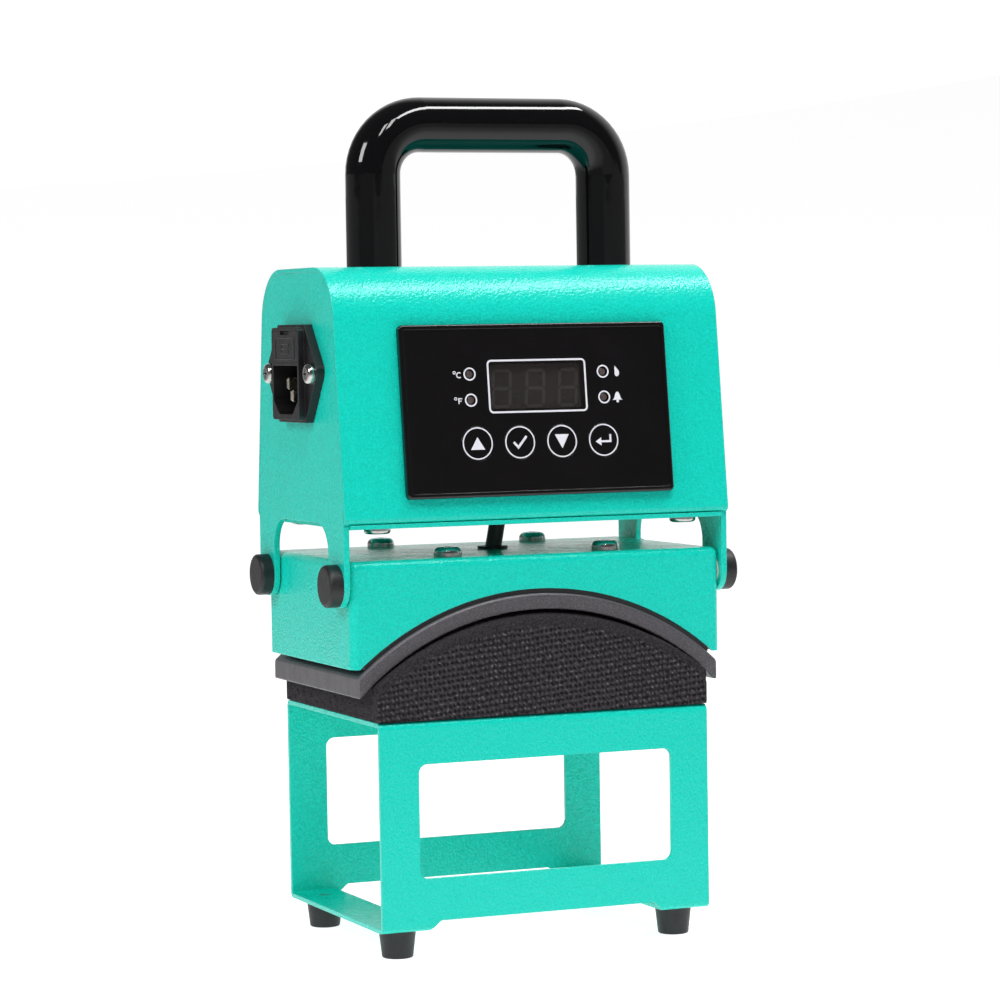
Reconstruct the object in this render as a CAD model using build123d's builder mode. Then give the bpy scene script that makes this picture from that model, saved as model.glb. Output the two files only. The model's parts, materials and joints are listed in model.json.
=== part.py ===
from build123d import *
import os
from math import cos, hypot, radians, sin, sqrt, tan

# A hand-held heat press with a curved plate, parked on its rest stand.
# Frame: +Z up, X across the width, the control panel faces -Y.
# The origin is on the table, midway between the four feet.
# Front and rear, and left and right, are mirror images unless a comment says otherwise.

os.makedirs("parts", exist_ok=True)

# ---------------------------------------------------------------- driving dimensions (mm)

# rest stand: one folded sheet, open at both ends, on four rubber feet
foot_height = 9.5
foot_bottom_radius = 5.2
foot_top_radius = 6.3
foot_x = 51.0
foot_y = 35.0
stand_width = 120.0
stand_depth = 90.0
stand_height = 70.0
stand_sheet = 1.5
stand_bend_radius = 2.2
window_width = 92.4
window_height = 38.2
window_rise = 36.6
window_corner_radius = 3.0
base_opening_width = 85.2
notch_height = 3.3
notch_slope = 3.5

# pressing faces: foam saddle below, curved heating plate above
saddle_radius = 91.4
saddle_crown = 34.6
saddle_width = 121.0
plate_gap = 0.35
plate_thickness = 5.45
plate_width = 131.0
plate_depth = 83.0
plate_back_fillet = 1.3
plate_face_fillet = 0.5

# heater cover: the lower box that carries the plate
heater_width = 135.0
heater_depth = 81.3
heater_sheet = 1.5
heater_top = 132.8
heater_bottom = 97.2
heater_edge_radius = 2.6
arch_radius = 98.47
arch_rise = 0.25

# upper housing: a folded wrap-around cover between two side plates
housing_width = 140.0
housing_sheet = 1.5
housing_bottom = 145.0
housing_top = 230.0
housing_half_depth = 43.4
housing_lean = 6.54
housing_corner_radius = 19.0
housing_bend_radius = 2.0
flange_width = 14.0
side_sheet = 2.0

# legs of the side plates, screwed to the heater cover
leg_y = 34.3
leg_width = 14.7
leg_screw_z = 124.8
leg_arch_radius = 10.0
cap_radius = 7.1
cap_height = 4.6

# handle: one bent round tube
handle_tube_radius = 9.4
handle_wall = 1.5
handle_x = 42.9
handle_shift = 1.35
handle_bar_z = 278.5
handle_bend_radius = 17.0

# control panel on the leaning front
panel_width = 97.2
panel_x = 0.4
panel_height = 57.8
panel_z = 181.4
panel_thickness = 2.4
panel_rim = 1.6
panel_recess = 0.3
skirt_width = 87.6
skirt_height = 47.6
skirt_wall = 1.6
graphics_x = 0.3
window_glass_width = 35.0
window_glass_height = 17.0
window_glass_y = 7.9
key_pitch = 15.33
key_y = -11.0
key_radius = 5.75
key_gap = 0.12
key_travel = 0.5
led_x = 24.3
led_y = (12.2, 3.6)

# mains inlet with fuse drawer, on the left side plate
inlet_y = -2.3
inlet_z = 194.7
inlet_screw_pitch = 40.0
inlet_flange_thickness = 3.0
inlet_proud = 2.2

# the black lead between the two housings, and the holes that it passes through
lead_radius = 2.8
lead_bend = 170.0
lead_places = [
    (-1.8, 0, 122.0),
    (3.2, 0, 145.0),
    (4.4, 0, 160.0),
]
tray_hole_x = 2.95
tray_hole_radius = 4.6
heater_hole_x = 0.45
heater_hole_radius = 4.0

# ---------------------------------------------------------------- derived places

stand_top = foot_height + stand_height
arc_centre_z = stand_top + saddle_crown - saddle_radius
face_radius = saddle_radius + plate_gap
plate_back_radius = face_radius + plate_thickness
arch_centre_z = arc_centre_z + arch_rise
heater_inner_top = heater_top - heater_sheet
tray_bottom = housing_bottom - 1.5
side_plate_x = housing_width / 2 - side_sheet
lean = radians(housing_lean)
arc_axis = Plane(origin=(0, 0, arc_centre_z), x_dir=(1, 0, 0), z_dir=(0, -1, 0))


def front_y(z):
    """Y of the cover's leaning front face at height z."""
    return -(housing_half_depth - (z - housing_bottom) * tan(lean))


panel_plane = Plane(
    origin=(panel_x, front_y(panel_z), panel_z),
    x_dir=(1, 0, 0),
    z_dir=(0, -cos(lean), sin(lean)),
)
inlet_plane = Plane(
    origin=(-housing_width / 2, inlet_y, inlet_z),
    x_dir=(0, -1, 0),
    z_dir=(-1, 0, 0),
)


def four(x, y, z):
    """The four places that mirror (x, y) front to rear and left to right, at height z."""
    return [(sx * x, sy * y, z) for sx in (-1, 1) for sy in (-1, 1)]


def save(part, name):
    """Labels a finished piece and writes its STEP file."""
    part.label = name
    export_step(part, f"parts/{name}.step")


def facing(places, normal):
    """One plane at each place, its normal along the given direction."""
    return [Plane(origin=place, z_dir=normal) for place in places]


def outward(places):
    """One plane at each place, its normal along X, away from the middle."""
    return [Plane(origin=place, z_dir=(place[0], 0, 0)) for place in places]


def inward(places):
    """One plane at each place, its normal along X, towards the middle."""
    return [Plane(origin=place, z_dir=(-place[0], 0, 0)) for place in places]


def screws(name, seats, head_radius, head_height, shank_radius, shank_length, dome=0.62):
    """Pan head cross screws. Each seat is the plane under a head, its normal out of the head."""
    with BuildPart() as group:
        for seat in seats:
            with BuildSketch(seat):
                Circle(head_radius)
            extrude(amount=head_height)
            crown = group.faces(Select.LAST).sort_by(Axis(seat.origin, seat.z_dir))[-1]
            fillet(crown.edges(), head_height * dome)
            with BuildSketch(seat):
                Circle(shank_radius)
            extrude(amount=-shank_length)
            with BuildSketch(seat.offset(head_height)):
                Rectangle(head_radius * 0.95, head_radius * 0.2)
                Rectangle(head_radius * 0.2, head_radius * 0.95)
            extrude(amount=-head_height * 0.5, mode=Mode.SUBTRACT)
    save(group.part, name)


def hex_nuts(name, seats, across_flats, height, bore_radius):
    """Hexagon nuts. Each seat is a nut's bearing plane, its normal into the nut."""
    with BuildPart() as group:
        for seat in seats:
            with BuildSketch(seat):
                RegularPolygon(across_flats / 2, 6, major_radius=False)
                Circle(bore_radius, mode=Mode.SUBTRACT)
            extrude(amount=height)
    save(group.part, name)


def rings(name, seats, outer_radius, inner_radius, height):
    """Plain washers, bushes or tubes standing on their seats."""
    with BuildPart() as group:
        for seat in seats:
            with BuildSketch(seat):
                Circle(outer_radius)
                Circle(inner_radius, mode=Mode.SUBTRACT)
            extrude(amount=height)
    save(group.part, name)


def wires(name, routes, radius, bend):
    """Insulated cores, each a round tube along straight runs joined by arcs."""
    with BuildPart() as group:
        for route in routes:
            with BuildLine() as path:
                FilletPolyline(*route, radius=bend)
            with BuildSketch(path.line ^ 0):
                Circle(radius)
            sweep(path=path.line)
    save(group.part, name)


# ================================================================ rest stand

feet = four(foot_x, foot_y, 0)

# A closed tube of sheet, bent at four edges along X, its two ends open.
with BuildPart() as stand_frame:
    with BuildSketch(Plane.YZ):
        with Locations((0, foot_height + stand_height / 2)):
            RectangleRounded(stand_depth, stand_height, stand_bend_radius)
            RectangleRounded(
                stand_depth - 2 * stand_sheet,
                stand_height - 2 * stand_sheet,
                stand_bend_radius - stand_sheet,
                mode=Mode.SUBTRACT,
            )
    extrude(amount=stand_width / 2, both=True)
    # one window straight through the front and rear plates
    with BuildSketch(Plane.XZ):
        with Locations((0, foot_height + window_rise)):
            RectangleRounded(window_width, window_height, window_corner_radius)
    extrude(amount=stand_depth, both=True, mode=Mode.SUBTRACT)
    # the base opening, and the low notches where it runs up over the bends
    with Locations((0, 0, foot_height)):
        Box(
            base_opening_width,
            stand_depth - 2 * stand_sheet,
            4 * stand_sheet,
            mode=Mode.SUBTRACT,
        )
    with BuildSketch(Plane.XZ) as notch:
        with BuildLine():
            Polyline(
                (-base_opening_width / 2, foot_height - 1),
                (-base_opening_width / 2, foot_height + 0.2),
                (-base_opening_width / 2 + notch_slope, foot_height + notch_height),
                (base_opening_width / 2 - notch_slope, foot_height + notch_height),
                (base_opening_width / 2, foot_height + 0.2),
                (base_opening_width / 2, foot_height - 1),
                close=True,
            )
        make_face()
        fillet(notch.vertices().group_by(Axis.Y)[-1], 1.5)
    extrude(amount=stand_depth, both=True, mode=Mode.SUBTRACT)
    with Locations(*four(foot_x, foot_y, foot_height)):
        Cylinder(2.02, 10, mode=Mode.SUBTRACT)
save(stand_frame.part, "stand_frame")

# Tapered feet, each with a counterbore that hides its screw.
with BuildPart() as rubber_feet:
    with Locations(*feet):
        Cone(foot_bottom_radius, foot_top_radius, foot_height, align=(Align.CENTER, Align.CENTER, Align.MIN))
    fillet(rubber_feet.edges().group_by(Axis.Z)[0], 0.7)
    with Locations(*feet):
        Cylinder(3.6, 11, mode=Mode.SUBTRACT)
        Cylinder(2.05, 3 * foot_height, mode=Mode.SUBTRACT)
save(rubber_feet.part, "rubber_feet")

screws(
    "foot_screws",
    facing(four(foot_x, foot_y, 5.5), (0, 0, -1)),
    head_radius=3.4,
    head_height=2.2,
    shank_radius=2.0,
    shank_length=foot_height - 5.5 + stand_sheet,
)

# Foam block with a crowned top, as deep as the stand and a hair wider.
with BuildPart() as foam_saddle:
    with BuildSketch(arc_axis) as saddle_section:
        Circle(saddle_radius)
        with Locations((0, stand_top - arc_centre_z)):
            Rectangle(saddle_width, 2 * saddle_crown, align=(Align.CENTER, Align.MIN), mode=Mode.INTERSECT)
    extrude(amount=stand_depth / 2, both=True)
save(foam_saddle.part, "foam_saddle")

# ================================================================ heating plate and its stack


def curved_slab(inner_radius, outer_radius, width, depth):
    """A slab between two arcs about the pressing axis, cut off square at its sides."""
    with BuildPart() as slab:
        with BuildSketch(arc_axis):
            Circle(outer_radius)
            Circle(inner_radius, mode=Mode.SUBTRACT)
            Rectangle(width, 2 * outer_radius, align=(Align.CENTER, Align.MIN), mode=Mode.INTERSECT)
        extrude(amount=depth / 2, both=True)
    return slab.part


post_x = 29.0
post_y = 31.0
post_seat = arc_centre_z + 91.2
post_radius = 3.8
stack_hole_radius = 5.0

with BuildPart() as heating_plate:
    add(curved_slab(face_radius, plate_back_radius, plate_width, plate_depth))
    middle_radius = (face_radius + plate_back_radius) / 2
    back_edges = heating_plate.edges().filter_by(
        lambda e: hypot(e.center().X, e.center().Z - arc_centre_z) > middle_radius
    )
    fillet(back_edges, plate_back_fillet)
    face_edges = heating_plate.edges().filter_by(
        lambda e: hypot(e.center().X, e.center().Z - arc_centre_z) < face_radius + 0.01
    )
    fillet(face_edges, plate_face_fillet)
    with Locations(*four(post_x, post_y, post_seat)):
        Cylinder(post_radius + 0.2, 10, align=(Align.CENTER, Align.CENTER, Align.MIN), mode=Mode.SUBTRACT)
save(heating_plate.part, "heating_plate")

hex_nuts(
    "plate_posts",
    facing(four(post_x, post_y, post_seat), (0, 0, 1)),
    across_flats=6.5,
    height=heater_inner_top - post_seat,
    bore_radius=2.02,
)

# Sealing strip in the gap between the plate's back and the heater cover's arch.
with BuildPart() as edge_gasket:
    with BuildSketch(Plane.XZ):
        with Locations((0, arch_centre_z)):
            Circle(arch_radius - 0.12)
        with Locations((0, arc_centre_z)):
            Circle(plate_back_radius + 0.1, mode=Mode.SUBTRACT)
        with Locations((0, heater_bottom)):
            Rectangle(126, 60, align=(Align.CENTER, Align.MIN), mode=Mode.INTERSECT)
    extrude(amount=heater_depth / 2 - 0.5, both=True)
    with Locations((0, 0, heater_bottom)):
        Box(114, 72, 80, mode=Mode.SUBTRACT)
save(edge_gasket.part, "edge_gasket")

mat_inner_radius = plate_back_radius + 0.1
mat_outer_radius = mat_inner_radius + 1.6
cutout_place = (16.0, 12.0, arc_centre_z + 96)
probe_x = -14.0
probe_radius = 2.0

with BuildPart() as heater_mat:
    add(curved_slab(mat_inner_radius, mat_outer_radius, 110, 68))
    with Locations(*four(post_x, post_y, post_seat)):
        Cylinder(stack_hole_radius, 60, mode=Mode.SUBTRACT)
save(heater_mat.part, "heater_mat")

pad_outer_radius = mat_outer_radius + 6
with BuildPart() as insulation_pad:
    add(curved_slab(mat_outer_radius + 0.1, pad_outer_radius, 106, 66))
    with Locations(*four(post_x, post_y, post_seat)):
        Cylinder(stack_hole_radius, 60, mode=Mode.SUBTRACT)
    with Locations(cutout_place):
        Cylinder(9.5, 60, mode=Mode.SUBTRACT)
    with Locations((lead_places[0][0], 0, heater_top)):
        Cylinder(5, 60, mode=Mode.SUBTRACT)
    with Locations((probe_x, 8, heater_top)):
        Box(6, 30, 60, mode=Mode.SUBTRACT)
save(insulation_pad.part, "insulation_pad")

# Snap-disc thermal cut-out, bedded on the mat, with two tabs.
with BuildPart() as thermal_cutout:
    with Locations(cutout_place):
        Cylinder(8, 9, align=(Align.CENTER, Align.CENTER, Align.MIN))
        with Locations((0, -4, 9), (0, 4, 9)):
            Box(6.3, 0.8, 2.5, align=(Align.CENTER, Align.CENTER, Align.MIN))
    with BuildSketch(arc_axis):
        Circle(mat_outer_radius + 0.1)
    extrude(amount=plate_depth, both=True, mode=Mode.SUBTRACT)
save(thermal_cutout.part, "thermal_cutout")

probe_z = arc_centre_z + sqrt((mat_outer_radius + probe_radius + 0.1) ** 2 - probe_x**2)
with BuildPart() as temperature_probe:
    with Locations(Plane(origin=(probe_x, 8, probe_z), z_dir=(0, 1, 0))):
        Cylinder(probe_radius, 22)
    fillet(temperature_probe.edges(), 0.8)
save(temperature_probe.part, "temperature_probe")

# ================================================================ heater cover

with BuildPart() as heater_cover:
    with Locations((0, 0, heater_top)):
        Box(
            heater_width,
            heater_depth,
            heater_top - heater_bottom,
            align=(Align.CENTER, Align.CENTER, Align.MAX),
        )
    fillet(heater_cover.edges().filter_by(Axis.Z), heater_edge_radius)
    fillet(heater_cover.faces().sort_by(Axis.Z)[-1].edges(), heater_edge_radius)
    with Locations((0, 0, heater_inner_top)):
        Box(
            heater_width - 2 * heater_sheet,
            heater_depth - 2 * heater_sheet,
            heater_top - heater_bottom,
            align=(Align.CENTER, Align.CENTER, Align.MAX),
            mode=Mode.SUBTRACT,
        )
    with BuildSketch(Plane.XZ):
        with Locations((0, arch_centre_z)):
            Circle(arch_radius)
    extrude(amount=heater_depth, both=True, mode=Mode.SUBTRACT)
    with Locations(*four(post_x, post_y, heater_top)):
        Cylinder(2.2, 10, mode=Mode.SUBTRACT)
    with Locations((heater_hole_x, 0, heater_top)):
        Cylinder(heater_hole_radius, 10, mode=Mode.SUBTRACT)
    with Locations(*outward(four(heater_width / 2, leg_y, leg_screw_z))):
        Cylinder(2.2, 8, mode=Mode.SUBTRACT)
save(heater_cover.part, "heater_cover")

screws(
    "cover_screws",
    facing(four(post_x, post_y, heater_top), (0, 0, 1)),
    head_radius=4.75,
    head_height=3.3,
    shank_radius=2.0,
    shank_length=12,
)

# ================================================================ upper housing


def housing_outline(inset):
    """Side outline of the housing, set in from the cover's outer face: a trapezoid with round corners."""
    slant = inset / cos(lean)
    top = housing_top - inset
    bottom = housing_bottom + inset
    with BuildSketch(Plane.YZ, mode=Mode.PRIVATE) as outline:
        with BuildLine():
            Polyline(
                (front_y(bottom) + slant, bottom),
                (-front_y(bottom) - slant, bottom),
                (-front_y(top) - slant, top),
                (front_y(top) + slant, top),
                close=True,
            )
        make_face()
        fillet(outline.vertices().group_by(Axis.Y)[-1], housing_corner_radius - inset)
        if inset < housing_bend_radius:
            fillet(outline.vertices().group_by(Axis.Y)[0], housing_bend_radius - inset)
    return outline.sketch_local


flange_gap = 2 * (housing_half_depth - flange_width)
handle_left = handle_shift - handle_x
handle_right = handle_shift + handle_x
handle_places = [(handle_left, 0, housing_top), (handle_right, 0, housing_top)]
tray_screw_x = 56.0
tray_screw_y = 36.0

# Front, top and rear in one bent sheet, with flanges turned in along its two lower edges.
with BuildPart() as housing_cover:
    with BuildSketch(Plane.YZ):
        add(housing_outline(0))
        add(housing_outline(housing_sheet), mode=Mode.SUBTRACT)
        with Locations((0, housing_bottom)):
            Rectangle(flange_gap, 4 * housing_sheet, mode=Mode.SUBTRACT)
    extrude(amount=housing_width / 2, both=True)
    # the flanges stop short of the side plates' legs
    for side in (-1, 1):
        with Locations((side * (housing_width / 2 + 0.1), 0, housing_bottom)):
            Box(
                2 * side_sheet + 0.4,
                2 * (housing_half_depth - housing_sheet),
                6 * housing_sheet,
                mode=Mode.SUBTRACT,
            )
    # the panel's cut-out, the handle's bolt holes and the tray's screw holes
    with BuildSketch(panel_plane):
        RectangleRounded(skirt_width + 0.4, skirt_height + 0.4, 1.0)
    extrude(amount=-8, mode=Mode.SUBTRACT)
    with Locations(*handle_places):
        Cylinder(3.2, 10, mode=Mode.SUBTRACT)
    with Locations(*four(tray_screw_x, tray_screw_y, housing_bottom)):
        Cylinder(2.6, 10, mode=Mode.SUBTRACT)
save(housing_cover.part, "housing_cover")


def side_plate(name, side):
    """A side plate and its two legs, cut as one piece. side is -1 for left and 1 for right."""
    inner_half = leg_y - leg_width / 2
    leg_top = housing_bottom + housing_sheet + 0.1
    with BuildPart() as plate:
        with BuildSketch(Plane.YZ.offset(side * side_plate_x)) as outline:
            add(housing_outline(housing_sheet + 0.05))
            for leg in (-leg_y, leg_y):
                with Locations((leg, leg_screw_z)):
                    Circle(leg_width / 2)
                    Rectangle(leg_width, leg_top - leg_screw_z, align=(Align.CENTER, Align.MIN))
            with Locations((0, housing_bottom - 0.2)):
                Rectangle(2 * inner_half, 5, align=(Align.CENTER, Align.MIN))
            arch_corners = outline.vertices().filter_by(
                lambda v: abs(abs(v.X) - inner_half) < 0.01 and abs(v.Y - housing_bottom + 0.2) < 0.01
            )
            fillet(arch_corners, leg_arch_radius)
        extrude(amount=side * side_sheet)
        with Locations(*outward([(side * side_plate_x, y, leg_screw_z) for y in (-leg_y, leg_y)])):
            Cylinder(2.2, 8, mode=Mode.SUBTRACT)
        if side < 0:
            with BuildSketch(inlet_plane):
                Rectangle(26.6, 30.8)
                with Locations((-inlet_screw_pitch / 2, 0), (inlet_screw_pitch / 2, 0)):
                    Circle(1.8)
            extrude(amount=-8, mode=Mode.SUBTRACT)
    save(plate.part, name)


side_plate("side_plate_left", -1)
side_plate("side_plate_right", 1)


def lead_solid(radius):
    """The lead between the housings, or the slightly larger hole that it passes through."""
    with BuildPart() as lead:
        with BuildLine() as path:
            FilletPolyline(*lead_places, radius=lead_bend)
        with BuildSketch(path.line ^ 0):
            Circle(radius)
        sweep(path=path.line)
    return lead.part


save(lead_solid(lead_radius), "heater_lead")

board_x = 35.0
board_y = 1.0
board_z = 151.0
board_width = 54.0
board_depth = 50.0
board_hole_x = board_width / 2 - 4
board_hole_y = board_depth / 2 - 4
board_holes = [
    (board_x + sx * board_hole_x, board_y + sy * board_hole_y) for sx in (-1, 1) for sy in (-1, 1)
]

# Flat plate that closes the housing from below.
with BuildPart() as bottom_tray:
    with Locations((0, 0, tray_bottom)):
        Box(
            2 * side_plate_x - 0.2,
            2 * housing_half_depth - 1.4,
            housing_bottom - tray_bottom,
            align=(Align.CENTER, Align.CENTER, Align.MIN),
        )
    with Locations(*four(tray_screw_x, tray_screw_y, tray_bottom)):
        Cylinder(2.6, 10, mode=Mode.SUBTRACT)
    with Locations(*[(x, y, tray_bottom) for x, y in board_holes]):
        Cylinder(1.6, 10, mode=Mode.SUBTRACT)
    with Locations((tray_hole_x, 0, tray_bottom)):
        Cylinder(tray_hole_radius, 10, mode=Mode.SUBTRACT)
save(bottom_tray.part, "bottom_tray")

screws(
    "tray_screws",
    facing(four(tray_screw_x, tray_screw_y, tray_bottom), (0, 0, -1)),
    head_radius=4.5,
    head_height=1.9,
    shank_radius=2.5,
    shank_length=9,
)
hex_nuts(
    "flange_nuts",
    facing(four(tray_screw_x, tray_screw_y, housing_bottom + housing_sheet), (0, 0, 1)),
    across_flats=8,
    height=4,
    bore_radius=2.52,
)


def grommet(name, place, hole_radius, below, above, lip_radius, sheet):
    """Round bush in a sheet's hole: a lip under the sheet, a lip over it, and the lead through it."""
    with BuildPart() as bush:
        with Locations(place):
            Cylinder(hole_radius - 0.05, sheet, align=(Align.CENTER, Align.CENTER, Align.MIN))
            with Locations((0, 0, -below)):
                Cylinder(lip_radius, below, align=(Align.CENTER, Align.CENTER, Align.MIN))
            with Locations((0, 0, sheet)):
                Cylinder(lip_radius, above, align=(Align.CENTER, Align.CENTER, Align.MIN))
        add(lead_solid(lead_radius + 0.05), mode=Mode.SUBTRACT)
    save(bush.part, name)


grommet(
    "tray_grommet",
    (tray_hole_x, 0, tray_bottom),
    tray_hole_radius,
    below=0.8,
    above=1.2,
    lip_radius=5.6,
    sheet=housing_bottom - tray_bottom,
)
grommet(
    "heater_grommet",
    (heater_hole_x, 0, heater_inner_top),
    heater_hole_radius,
    below=1.2,
    above=0.9,
    lip_radius=5.2,
    sheet=heater_sheet,
)

# ---------------------------------------------------------------- handle

with BuildPart() as handle_tube:
    with BuildLine() as handle_path:
        FilletPolyline(
            (handle_left, 0, housing_top),
            (handle_left, 0, handle_bar_z),
            (handle_right, 0, handle_bar_z),
            (handle_right, 0, housing_top),
            radius=handle_bend_radius,
        )
    with BuildSketch(Plane(origin=handle_places[0], z_dir=(0, 0, 1))):
        Circle(handle_tube_radius)
        Circle(handle_tube_radius - handle_wall, mode=Mode.SUBTRACT)
    sweep(path=handle_path.line)
save(handle_tube.part, "handle_tube")

rings(
    "handle_plugs",
    facing(handle_places, (0, 0, 1)),
    outer_radius=handle_tube_radius - handle_wall - 0.02,
    inner_radius=3.02,
    height=14,
)
handle_inside = [(x, y, housing_top - housing_sheet) for x, y, z in handle_places]
rings("handle_washers", facing(handle_inside, (0, 0, -1)), outer_radius=8, inner_radius=3.1, height=1.6)

with BuildPart() as handle_bolts:
    for bolt_place in handle_inside:
        with Locations(bolt_place):
            with Locations((0, 0, -1.6)):
                Cylinder(3.0, 14, align=(Align.CENTER, Align.CENTER, Align.MIN))
        with BuildSketch(Plane.XY.offset(bolt_place[2] - 1.6)):
            with Locations(bolt_place[:2]):
                RegularPolygon(5, 6, major_radius=False)
        extrude(amount=-4)
save(handle_bolts.part, "handle_bolts")

# ---------------------------------------------------------------- leg fixings, both sides

leg_seats = outward(four(housing_width / 2, leg_y, leg_screw_z))
gap_seats = outward(four(heater_width / 2, leg_y, leg_screw_z))
nut_seats = inward(four(heater_width / 2 - heater_sheet, leg_y, leg_screw_z))

screws(
    "leg_screws",
    leg_seats,
    head_radius=3.8,
    head_height=2.4,
    shank_radius=2.0,
    shank_length=9,
)
rings("leg_spacers", gap_seats, outer_radius=5, inner_radius=2.2, height=side_plate_x - heater_width / 2)
hex_nuts("leg_nuts", nut_seats, across_flats=7, height=3.2, bore_radius=2.02)

with BuildPart() as leg_caps:
    for seat in leg_seats:
        with BuildSketch(seat):
            Circle(cap_radius)
        extrude(amount=cap_height)
        cap_front = leg_caps.faces(Select.LAST).sort_by(Axis(seat.origin, seat.z_dir))[-1]
        fillet(cap_front.edges(), 1.2)
        with BuildSketch(seat):
            Circle(4.4)
        extrude(amount=2.6, mode=Mode.SUBTRACT)
    # a small notch under each cap, for prising it off
    with Locations(*four(housing_width / 2, leg_y, leg_screw_z - cap_radius)):
        Box(3 * cap_height, 1.6, 1.6, mode=Mode.SUBTRACT)
save(leg_caps.part, "leg_caps")

# ================================================================ control panel

board_depth_behind = 8.0
skirt_depth = 10.0
display_board_thickness = 1.6
key_x = [graphics_x + key_pitch * (i - 1.5) for i in range(4)]
led_places = [(graphics_x + side * led_x, y) for side in (-1, 1) for y in led_y]
boss_places = [(sx * 39.5, sy * 19.5) for sx in (-1, 1) for sy in (-1, 1)]
panel_face = panel_thickness - panel_recess

# Moulded bezel: a glossy plate with a raised rim, and a skirt that goes through the cover.
with BuildPart() as control_panel:
    with BuildSketch(panel_plane):
        RectangleRounded(panel_width, panel_height, 1.6)
    extrude(amount=panel_thickness)
    panel_front = control_panel.faces().sort_by(Axis(panel_plane.origin, panel_plane.z_dir))[-1]
    fillet(panel_front.edges(), 0.8)
    with BuildSketch(panel_plane.offset(panel_face)):
        RectangleRounded(panel_width - 2 * panel_rim, panel_height - 2 * panel_rim, 0.8)
    extrude(amount=panel_recess + 0.1, mode=Mode.SUBTRACT)
    with BuildSketch(panel_plane):
        RectangleRounded(skirt_width, skirt_height, 1.0)
        RectangleRounded(
            skirt_width - 2 * skirt_wall,
            skirt_height - 2 * skirt_wall,
            0.6,
            mode=Mode.SUBTRACT,
        )
    extrude(amount=-skirt_depth)
    with BuildSketch(panel_plane):
        with Locations(*boss_places):
            Circle(2.4)
    extrude(amount=-board_depth_behind)
    with BuildSketch(panel_plane.offset(-board_depth_behind)):
        with Locations(*boss_places):
            Circle(1.25)
    extrude(amount=6, mode=Mode.SUBTRACT)
    # window seat with a ledge behind it, key holes and lamp holes
    with BuildSketch(panel_plane.offset(panel_face)):
        with Locations((graphics_x, window_glass_y)):
            RectangleRounded(window_glass_width + 0.1, window_glass_height + 0.1, 1.2)
    extrude(amount=-1.5, mode=Mode.SUBTRACT)
    with BuildSketch(panel_plane.offset(panel_face)):
        with Locations((graphics_x, window_glass_y)):
            Rectangle(window_glass_width - 2, window_glass_height - 2)
        with Locations(*[(x, key_y) for x in key_x]):
            Circle(key_radius + key_gap)
        with Locations(*led_places):
            Circle(1.6)
    extrude(amount=-3, mode=Mode.SUBTRACT)
save(control_panel.part, "control_panel")

with BuildPart() as display_window:
    with BuildSketch(panel_plane.offset(panel_face)):
        with Locations((graphics_x, window_glass_y)):
            RectangleRounded(window_glass_width, window_glass_height, 1.2)
    extrude(amount=-1.48)
save(display_window.part, "display_window")

with BuildPart() as digit_module:
    with BuildSketch(panel_plane.offset(-board_depth_behind)):
        with Locations((graphics_x, window_glass_y)):
            Rectangle(37.6, 19.0)
    extrude(amount=board_depth_behind - 0.1)
save(digit_module.part, "digit_module")

# Board behind the panel, screwed to the four bosses.
with BuildPart() as display_board:
    with BuildSketch(panel_plane.offset(-board_depth_behind)):
        Rectangle(skirt_width - 2 * skirt_wall - 0.4, skirt_height - 2 * skirt_wall - 0.4)
        with Locations(*boss_places):
            Circle(1.35, mode=Mode.SUBTRACT)
    extrude(amount=-display_board_thickness)
save(display_board.part, "display_board")

board_back = panel_plane.offset(-board_depth_behind - display_board_thickness)
boss_seats = [
    Plane(origin=board_back.from_local_coords((x, y, 0)), z_dir=-board_back.z_dir) for x, y in boss_places
]
screws(
    "display_board_screws",
    boss_seats,
    head_radius=2.3,
    head_height=1.7,
    shank_radius=1.22,
    shank_length=6,
)

# Each lamp is a round-nosed light emitter on a spacer.
with BuildPart() as indicator_lamps:
    for lamp_x, lamp_y in led_places:
        with BuildSketch(panel_plane.offset(-board_depth_behind)):
            with Locations((lamp_x, lamp_y)):
                Circle(2.2)
        extrude(amount=4.6)
        with BuildSketch(panel_plane.offset(-board_depth_behind + 4.6)):
            with Locations((lamp_x, lamp_y)):
                Circle(1.5)
        extrude(amount=board_depth_behind - 4.6 + panel_face - 0.3)
        nose = indicator_lamps.faces(Select.LAST).sort_by(Axis(panel_plane.origin, panel_plane.z_dir))[-1]
        fillet(nose.edges(), 0.9)
save(indicator_lamps.part, "indicator_lamps")

# Tactile switches, their plungers a little behind the key stems.
switch_top = -3.65
with BuildPart() as key_switches:
    for x in key_x:
        with BuildSketch(panel_plane.offset(-board_depth_behind)):
            with Locations((x, key_y)):
                Rectangle(6.2, 6.2)
        extrude(amount=3.6)
        with BuildSketch(panel_plane.offset(-board_depth_behind + 3.6)):
            with Locations((x, key_y)):
                Circle(1.7)
        extrude(amount=board_depth_behind - 3.6 + switch_top)
save(key_switches.part, "key_switches")


def key(name, x):
    """A round key: a low dome flush with the panel, a flange that keeps it in, and a stem."""
    with BuildPart() as button:
        with BuildSketch(panel_plane.offset(-0.1)):
            with Locations((x, key_y)):
                Circle(key_radius)
        extrude(amount=panel_face + 0.25)
        cap = button.faces(Select.LAST).sort_by(Axis(panel_plane.origin, panel_plane.z_dir))[-1]
        fillet(cap.edges(), 0.3)
        with BuildSketch(panel_plane.offset(-0.1)):
            with Locations((x, key_y)):
                Circle(key_radius + 0.9)
        extrude(amount=-1.0)
        with BuildSketch(panel_plane.offset(-1.1)):
            with Locations((x, key_y)):
                Circle(1.8)
        extrude(amount=switch_top + key_travel + 0.05 + 1.1)
    save(button.part, name)


for key_name, place_x in zip(("key_up", "key_ok", "key_down", "key_enter"), key_x):
    key(key_name, place_x)

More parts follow.
